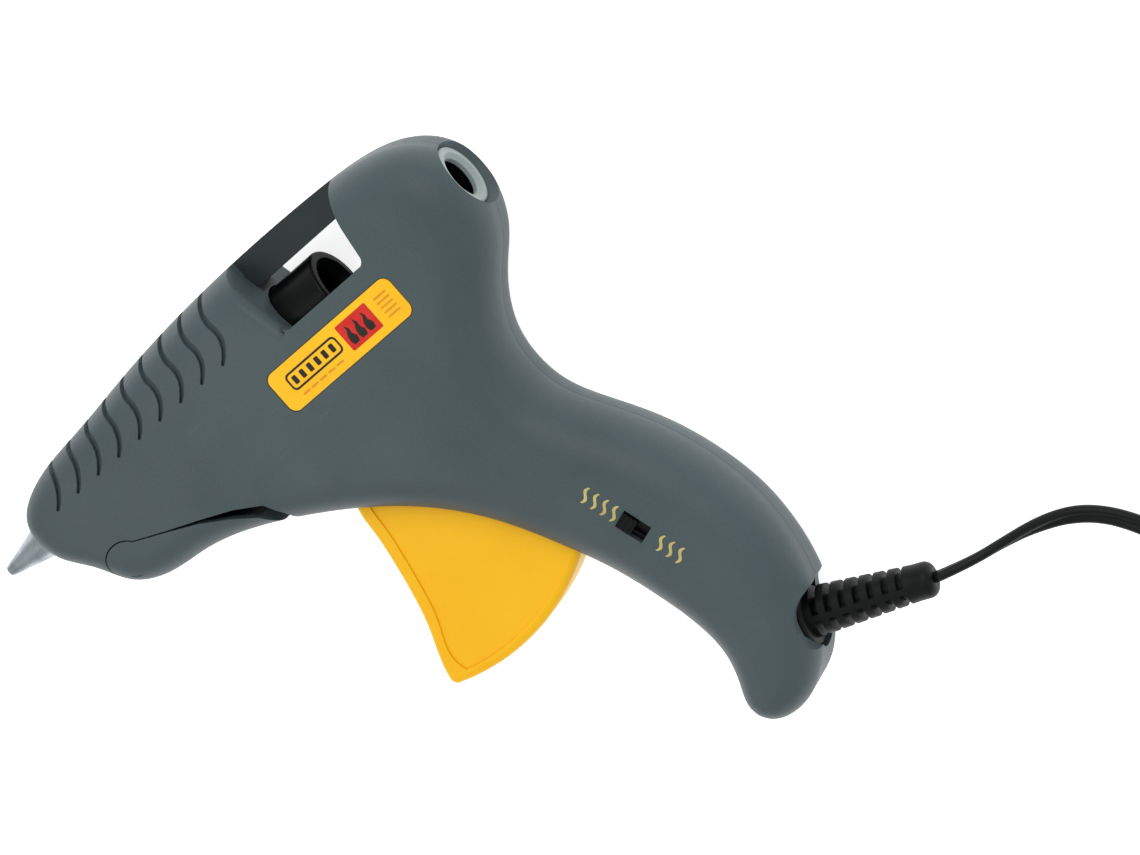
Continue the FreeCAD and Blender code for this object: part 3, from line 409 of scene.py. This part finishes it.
def metal_finish(name, dull, bright, squeeze, lines_per, depth, smooth, rough):
    """A worked metal: drawn or turned lines, with tarnish in patches."""
    finish, tree, shader, where = new_finish(name)
    tone = place_effect(tree, moulded_tone, {
        "Place": where, "Deep": colour(dull), "Pale": colour(bright), "Patch": 0.006,
        "Smooth": smooth, "Rough": rough})
    tree.links.new(tone["Color"], shader.inputs["Base Color"])
    tree.links.new(tone["Gloss"], shader.inputs["Roughness"])
    shader.inputs["Metallic"].default_value = 1.0
    height = place_effect(tree, drawn_lines, {"Place": where, "Squeeze": squeeze, "Lines": lines_per})
    bump = add_node(tree, "Bump", {"Strength": 0.4, "Distance": depth, "Height": height["Height"]})
    tree.links.new(bump.outputs[0], shader.inputs["Normal"])
    return finish


def dress(finish, *nodes):
    """Gives CAD parts their finish, in the material slots that they came with."""
    for name in nodes:
        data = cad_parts[name].data
        for number in range(len(data.materials)):
            data.materials[number] = finish
        if not data.materials:
            data.materials.append(finish)


dress(metal_finish("plug_brass", "b08d4a", "d9bd7c", (40, 1, 40), 60.0, 0.00003, 0.22, 0.38), "plug_blades")


# ---------------------------------------------------------------- cord tie
# A paper-thin plastic tie with a wire core goes once round the coil's turns, and its two ends are
# twisted together on the outside.
TIE_TURN = math.radians(70.0)
TIE_WIDE = 3.6
TIE_THICK = 0.5
TIE_OUT = 28.2                                 # middle of the tie's loop: out from the coil's middle
TIE_UP = 4.85                                  # and up from the table
TIE_HALF_ROUND = 8.7
TIE_HALF_HIGH = 4.45
TIE_RIPPLE = 0.1
TWIST_TURNS = 2.5
TWIST_LONG = 9.0
TWIST_HALF = 1.5
TWIST_STARTS = 37.4                            # out from the coil's middle


def on_tie(out, along, up):
    """A point near the tie: out from the coil's middle, along the cord, up from the table."""
    c, s = math.cos(TIE_TURN), math.sin(TIE_TURN)
    return gun(COIL_MIDDLE[0] + out * c - along * s, COIL_MIDDLE[1] + out * s + along * c, TABLE + up)


tie_rings = []
for number in range(48):
    angle = 2 * math.pi * number / 48
    c, s = math.cos(angle), math.sin(angle)
    ripple = TIE_RIPPLE * math.sin(5 * angle)
    out = TIE_OUT + (TIE_HALF_ROUND + ripple) * math.copysign(abs(c) ** 0.4, c)
    up = TIE_UP + (TIE_HALF_HIGH + ripple * 0.4) * math.copysign(abs(s) ** 0.4, s)
    normal = Vector((c, s)).normalized()
    ring = []
    for along, thick in ((-0.5, 0), (-0.5, 1), (-0.25, 0.75), (0.25, 0.75), (0.5, 1), (0.5, 0)):
        height = max(0.05, up + normal.y * TIE_THICK * thick)
        ring.append(on_tie(out + normal.x * TIE_THICK * thick, along * TIE_WIDE, height))
    tie_rings.append(ring)
tie_band = loft("tie_band", tie_rings, round_again=True)
twist_rings = []
for number in range(41):
    share = number / 40
    turn = 2 * math.pi * TWIST_TURNS * share
    half = TWIST_HALF * (0.45 + 0.55 * abs(math.cos(turn)))
    out = TWIST_STARTS + TWIST_LONG * share
    along = math.sin(3 * share)
    up = 4.6 - 1.4 * share
    ring = []
    for u, v in ((1, 0.3), (-1, 0.3), (-1, -0.3), (1, -0.3)):
        aside = u * half * math.cos(turn) - v * math.sin(turn)
        higher = u * half * math.sin(turn) + v * math.cos(turn)
        ring.append(on_tie(out, along + aside, up + higher))
    twist_rings.append(ring)
tie_twist = loft("tie_twist", twist_rings)
tie_plastic, *_ = moulded_finish(
    "tie_plastic", "16191a", "24292a", "4a5051", 0.0004, 0.00003, 0.3, 0.42, scuffs=0.2)
for piece in (tie_band, tie_twist):
    piece.data.materials.append(tie_plastic)
    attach(piece, "casing")
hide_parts("cord_tie")


# ---------------------------------------------------------------- table and light
# A plain pale table, a wide soft light high behind the handle, a weaker one on the nozzle's side, and an
# even white room round them.
table_mesh = bmesh.new()
bmesh.ops.create_grid(table_mesh, x_segments=8, y_segments=8, size=3.0)
table_top = new_piece("table_top", table_mesh)
table_top.location.z = cad_box[0].z - 0.0001
pale_table, tree, shader, where = new_finish("pale_table")
tone = place_effect(tree, moulded_tone, {
    "Place": where, "Deep": colour("f6f6f6"), "Pale": colour("fbfbfb"), "Patch": 0.4,
    "Smooth": 0.7, "Rough": 0.8})
tree.links.new(tone["Color"], shader.inputs["Base Color"])
tree.links.new(tone["Gloss"], shader.inputs["Roughness"])
shader.inputs["Specular IOR Level"].default_value = 0.1
shader.inputs["Emission Color"].default_value = (1.0, 1.0, 1.0, 1.0)
shader.inputs["Emission Strength"].default_value = 0.72
table_top.data.materials.append(pale_table)

room = bpy.data.worlds.new("white_room")
bpy.context.scene.world = room
room.use_nodes = True
room.node_tree.nodes["Background"].inputs["Color"].default_value = (1.0, 1.0, 1.0, 1.0)
room.node_tree.nodes["Background"].inputs["Strength"].default_value = 0.74
bpy.context.scene.view_settings.view_transform = "Standard"


def soft_light(name, stands, size, power):
    """A square soft box that faces the gun."""
    lamp = bpy.data.lights.new(name, "AREA")
    lamp.shape = "SQUARE"
    lamp.size = size
    lamp.energy = power
    box = bpy.data.objects.new(name, lamp)
    bpy.context.scene.collection.objects.link(box)
    box.location = middle + Vector(stands)
    box.rotation_euler = Vector(stands).to_track_quat("Z", "Y").to_euler()


soft_light("high_soft_box", (0.55, 0.7, 1.1), 0.9, 6.2)
soft_light("nozzle_soft_box", (-0.8, 0.1, 1.0), 0.7, 1.8)


# ---------------------------------------------------------------- casings and fold-out stand
# Two half shells of slate-grey plastic meet on the seam, and the thin-walled stand under the barrel is cut
# from the same moulding. The bridge over the window sits back in a recess, and its colour is painted darker
# there as painted shade.
BRIDGE_FROM = 121.0
BRIDGE_TO = 159.0
BRIDGE_ABOVE = 12.6
BARREL_TOP = 60.0                              # above anything on the barrel
BRIDGE_HALF = 4.9
SEAM_HALF = 0.16


def band_mask(tree, value, low, high, soft):
    """1 between two values and 0 outside them, with soft edges."""
    rise = add_node(tree, "MapRange", {0: value, 1: low - soft, 2: low + soft})
    fall = add_node(tree, "MapRange", {0: value, 1: high - soft, 2: high + soft, 3: 1.0, 4: 0.0})
    return add_node(tree, "Math", {0: rise.outputs[0], 1: fall.outputs[0]}, operation="MULTIPLY").outputs[0]


slate, tree, shader, where, shown = moulded_finish(
    "slate_plastic", "3d4a4d", "475457", "647275", 0.00042, 0.00007, 0.42, 0.54, scuffs=0.22, patch=0.05)
apart = add_node(tree, "SeparateXYZ", {0: where})
seam = gun(0, 0, 0).z
# painted shade: a mask over the recessed bridge, between the window's walls, above the barrel and close to
# the seam
bridge_shade_mask = add_node(tree, "Math", {
    0: band_mask(tree, apart.outputs[0], gun(BRIDGE_FROM, 0, 0).x, gun(BRIDGE_TO, 0, 0).x, 0.0002),
    1: band_mask(tree, apart.outputs[1], gun(0, BRIDGE_ABOVE, 0).y, gun(0, BARREL_TOP, 0).y, 0.0002)},
    operation="MULTIPLY")
bridge_shade_mask = add_node(tree, "Math", {
    0: bridge_shade_mask.outputs[0],
    1: band_mask(tree, apart.outputs[2], seam - BRIDGE_HALF / 1000, seam + BRIDGE_HALF / 1000, 0.0001)},
    operation="MULTIPLY")
# painted shade: inside that mask the casing colour is mixed towards a dark grey
bridge_painted_shade = add_node(
    tree, "Mix", {0: bridge_shade_mask.outputs[0], 6: shown.outputs[2], 7: colour("1e2829")}, data_type="RGBA")
joint = band_mask(tree, apart.outputs[2], seam - SEAM_HALF / 1000, seam + SEAM_HALF / 1000, 0.00005)
lined = add_node(tree, "Mix", {0: joint, 6: bridge_painted_shade.outputs[2], 7: colour("1b2122")}, data_type="RGBA")
tree.links.new(lined.outputs[2], shader.inputs["Base Color"])
dress(slate, "switch_side_casing", "far_side_casing", "fold_out_stand")


# ---------------------------------------------------------------- heat marks
# Pale yellow rising-heat strokes are pad-printed each side of the switch, four for its hotter end and
# three for its cooler end. The ink lies on the casing.
INK_LIFT = 0.05
STROKE_WIDE = 1.0
STROKE_HIGH = 5.0
STROKE_GAP = 3.0
WAVE = 0.6
HANDLE_TURN = math.radians(-72.0)
casing_skin = BVHTree.FromObject(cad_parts["switch_side_casing"], bpy.context.evaluated_depsgraph_get())


def on_casing(x, y):
    """The point on the casing's upper face at this place, lifted by the ink's thickness."""
    struck = casing_skin.ray_cast(gun(x, y, 60), Vector((0, 0, -1)))[0]
    return struck + Vector((0, 0, INK_LIFT / 1000))


def heat_strokes(name, middle_x, middle_y, count):
    """Wavy strokes side by side along the handle."""
    mesh = bmesh.new()
    for stroke in range(count):
        along = (stroke - (count - 1) / 2) * STROKE_GAP
        before = None
        for step in range(17):
            share = step / 16
            across = (share - 0.5) * STROKE_HIGH
            sway = WAVE * math.sin(2 * math.pi * share)
            half = STROKE_WIDE / 2 * (0.55 + 0.45 * math.sin(math.pi * share))
            edge = []
            for side in (-1, 1):
                u = along + sway + side * half
                x = middle_x + u * math.cos(HANDLE_TURN) - across * math.sin(HANDLE_TURN)
                y = middle_y + u * math.sin(HANDLE_TURN) + across * math.cos(HANDLE_TURN)
                edge.append(mesh.verts.new(on_casing(x, y)))
            if before:
                mesh.faces.new((before[0], before[1], edge[1], edge[0]))
            before = edge
    bmesh.ops.recalc_face_normals(mesh, faces=mesh.faces)
    for face in mesh.faces:
        if face.normal.z < 0:
            face.normal_flip()
    return new_piece(name, mesh)


pale_ink, *_ = moulded_finish(
    "pale_yellow_ink", "b5a763", "c8bb7a", "8f8a63", 0.0003, 0.00002, 0.5, 0.65, scuffs=0.5, patch=0.004)
for piece in (heat_strokes("hot_mark", 161.7, -88.0, 4), heat_strokes("cool_mark", 168.6, -109.0, 3)):
    piece.data.materials.append(pale_ink)
    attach(piece, "casing")


# ---------------------------------------------------------------- trigger
# One amber moulding: the finger blade with its rounded rim, the hub and the fork that drives the carriage.
amber, _, shader, *_ = moulded_finish(
    "amber_plastic", "f2b404", "fabf0a", "fbcc3a", 0.0005, 0.00004, 0.3, 0.42,
    scuffs=0.2, patch=0.04, shine=0.22)
shader.inputs["Subsurface Weight"].default_value = 0.06
shader.inputs["Subsurface Radius"].default_value = (0.004, 0.002, 0.0006)
shader.inputs["Subsurface Scale"].default_value = 0.5
dress(amber, "trigger")


# ---------------------------------------------------------------- label
# A film label set in a shallow seat. Its print is a framed row of bars, a red block with three flame
# shapes, and fine rules. It carries no words.
label_low, label_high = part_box("label_plate")
amber_film, *_ = moulded_finish(
    "amber_film", "f8b802", "fcc408", "fcd04a", 0.0006, 0.00002, 0.28, 0.36,
    scuffs=0.25, patch=0.02, shine=0.25)
dress(amber_film, "label_plate")


def rounded_oblong(left, bottom, wide, high, corner, points=6):
    """The outline of an oblong with round corners, in millimetres from the label's lower left corner."""
    outline = []
    for number, (x, y) in enumerate((
            (left + wide - corner, bottom + high - corner), (left + corner, bottom + high - corner),
            (left + corner, bottom + corner), (left + wide - corner, bottom + corner))):
        for step in range(points + 1):
            angle = math.radians(90 * (number + step / points))
            outline.append((x + corner * math.cos(angle), y + corner * math.sin(angle)))
    return outline


def printed(name, finish, shapes, lift):
    """Ink on the label: each shape is a closed outline, or an outer and an inner outline for a frame."""
    top = label_high.z + lift / 1000
    mesh = bmesh.new()

    def ink_point(place):
        return mesh.verts.new((label_low.x + place[0] / 1000, label_low.y + place[1] / 1000, top))

    for shape in shapes:
        if isinstance(shape[0][0], (int, float)):
            mesh.faces.new([ink_point(place) for place in shape])
            continue
        outer, inner = ([ink_point(place) for place in outline] for outline in shape)
        for number in range(len(outer)):
            beside = (number + 1) % len(outer)
            mesh.faces.new((outer[number], outer[beside], inner[beside], inner[number]))
    for face in mesh.faces:
        face.normal_update()
        if face.normal.z < 0:
            face.normal_flip()
    piece = new_piece(name, mesh)
    piece.data.materials.append(finish)
    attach(piece, "casing")


black_ink, *_ = moulded_finish(
    "black_ink", "120d08", "1e150c", "6b4c12", 0.0003, 0.00001, 0.35, 0.45, scuffs=0.4, patch=0.003)
red_ink, *_ = moulded_finish(
    "red_ink", "c4140c", "d62414", "f07a2c", 0.0003, 0.00001, 0.35, 0.45, scuffs=0.4, patch=0.003)
rust_ink, *_ = moulded_finish(
    "rust_ink", "d98a12", "e39b1c", "f0b030", 0.0003, 0.00001, 0.4, 0.5, scuffs=0.3, patch=0.003)
FIRST_COAT = 0.03                              # height of the ink over the film
SECOND_COAT = 0.06
BAR_PITCH = 2.9
FLAME_PITCH = 3.1
RULE_PITCH = 1.5
DASH_PITCH = 3.3
# one flame, from its lower left corner round to the tip and back
FLAME = [
    (0, 3.6), (1.9, 3.6), (2.3, 5.2), (1.5, 6.6), (1.7, 8.0),
    (0.9, 9.4), (0.7, 7.8), (-0.2, 6.4), (-0.4, 4.9),
]
bars = [rounded_oblong(6.4 + BAR_PITCH * number, 5.7, 1.5, 2.5, 0.35) for number in range(6)]
bar_frame = (rounded_oblong(4.7, 4.3, 19.6, 5.3, 1.5), rounded_oblong(5.3, 4.9, 18.4, 4.1, 1.0))
printed("framed_bars", black_ink, bars + [bar_frame], FIRST_COAT)
printed("red_block", red_ink, [rounded_oblong(26.0, 2.4, 11.6, 8.2, 0.5)], FIRST_COAT)
flames = [[(27.6 + FLAME_PITCH * number + x, y) for x, y in FLAME] for number in range(3)]
printed("flame_shapes", black_ink, flames, SECOND_COAT)
rules = [rounded_oblong(40.2, 3.0 + RULE_PITCH * number, 4.6, 0.55, 0.25) for number in range(5)]
rules += [rounded_oblong(6.0 + DASH_PITCH * number, 2.2, 2.6, 0.6, 0.25) for number in range(5)]
printed("fine_rules", rust_ink, rules, FIRST_COAT)


# ---------------------------------------------------------------- black mouldings
# The glue-stick carriage and its guide, the switch and its slider and the cord clamp are black nylon;
# the strain relief is softer vinyl, slotted so that it bends with the cord.
black_nylon, *_ = moulded_finish(
    "black_nylon", "040505", "090b0b", "1a1d1d", 0.0006, 0.00003, 0.3, 0.42, scuffs=0.25, shine=0.13)
dress(black_nylon, "stick_carriage", "stick_guide", "switch_body", "switch_slider", "cord_clamp")
relief_vinyl, *_ = moulded_finish(
    "relief_vinyl", "070909", "0f1212", "242a2a", 0.0005, 0.00006, 0.4, 0.52, scuffs=0.3, shine=0.15)
dress(relief_vinyl, "strain_relief")


# ---------------------------------------------------------------- nozzle and melt chamber
# The nozzle is turned from grey-bright aluminium. Behind it the cast chamber, its heater in foil and a
# steel clip, and the silicone sleeve that the stick slides through are mostly hidden in the casings.
dress(metal_finish("bright_nozzle", "7d868a", "a3abaf", (60, 1, 1), 25.0, 0.00004, 0.26, 0.4), "nozzle")
dress(metal_finish("cast_aluminium", "8d9092", "a9acae", (1, 1, 1), 1500.0, 0.00008, 0.45, 0.6),
      "melt_chamber")
dress(metal_finish("heater_foil", "b39a62", "cdb98a", (1, 1, 1), 900.0, 0.00005, 0.3, 0.45), "ptc_heater")
dress(metal_finish("spring_steel", "8f9395", "b6babc", (1, 30, 1), 60.0, 0.00002, 0.25, 0.4),
      "casing_screws", "trigger_pin", "trigger_spring", "stick_gripper", "gripper_pin", "drive_pin",
      "stand_pin", "valve_ball", "valve_spring", "heater_clip")
silicone, *_ = moulded_finish(
    "red_silicone", "9c3b26", "ab4630", "c2634a", 0.0006, 0.00004, 0.5, 0.62, scuffs=0.1)
dress(silicone, "inlet_sleeve")


# ---------------------------------------------------------------- stick inlet ring
# A pale grey-green ring is pressed into the back of the barrel and leads the glue stick in.
ring_plastic, *_ = moulded_finish(
    "pale_ring", "8b9896", "9ba8a5", "b8c3c0", 0.0005, 0.00004, 0.4, 0.5, scuffs=0.35)
dress(ring_plastic, "inlet_ring")


# ---------------------------------------------------------------- wires inside the handle
# Two insulated wires run from the cord clamp to the heater, brown for live and blue for neutral.
brown_wire, *_ = moulded_finish(
    "brown_insulation", "4a2b1a", "5a3521", "7a5138", 0.0004, 0.00003, 0.35, 0.48, scuffs=0.1)
dress(brown_wire, "live_wire")
blue_wire, *_ = moulded_finish(
    "blue_insulation", "1f4f86", "2a5f9a", "5584b5", 0.0004, 0.00003, 0.35, 0.48, scuffs=0.1)
dress(blue_wire, "neutral_wire")
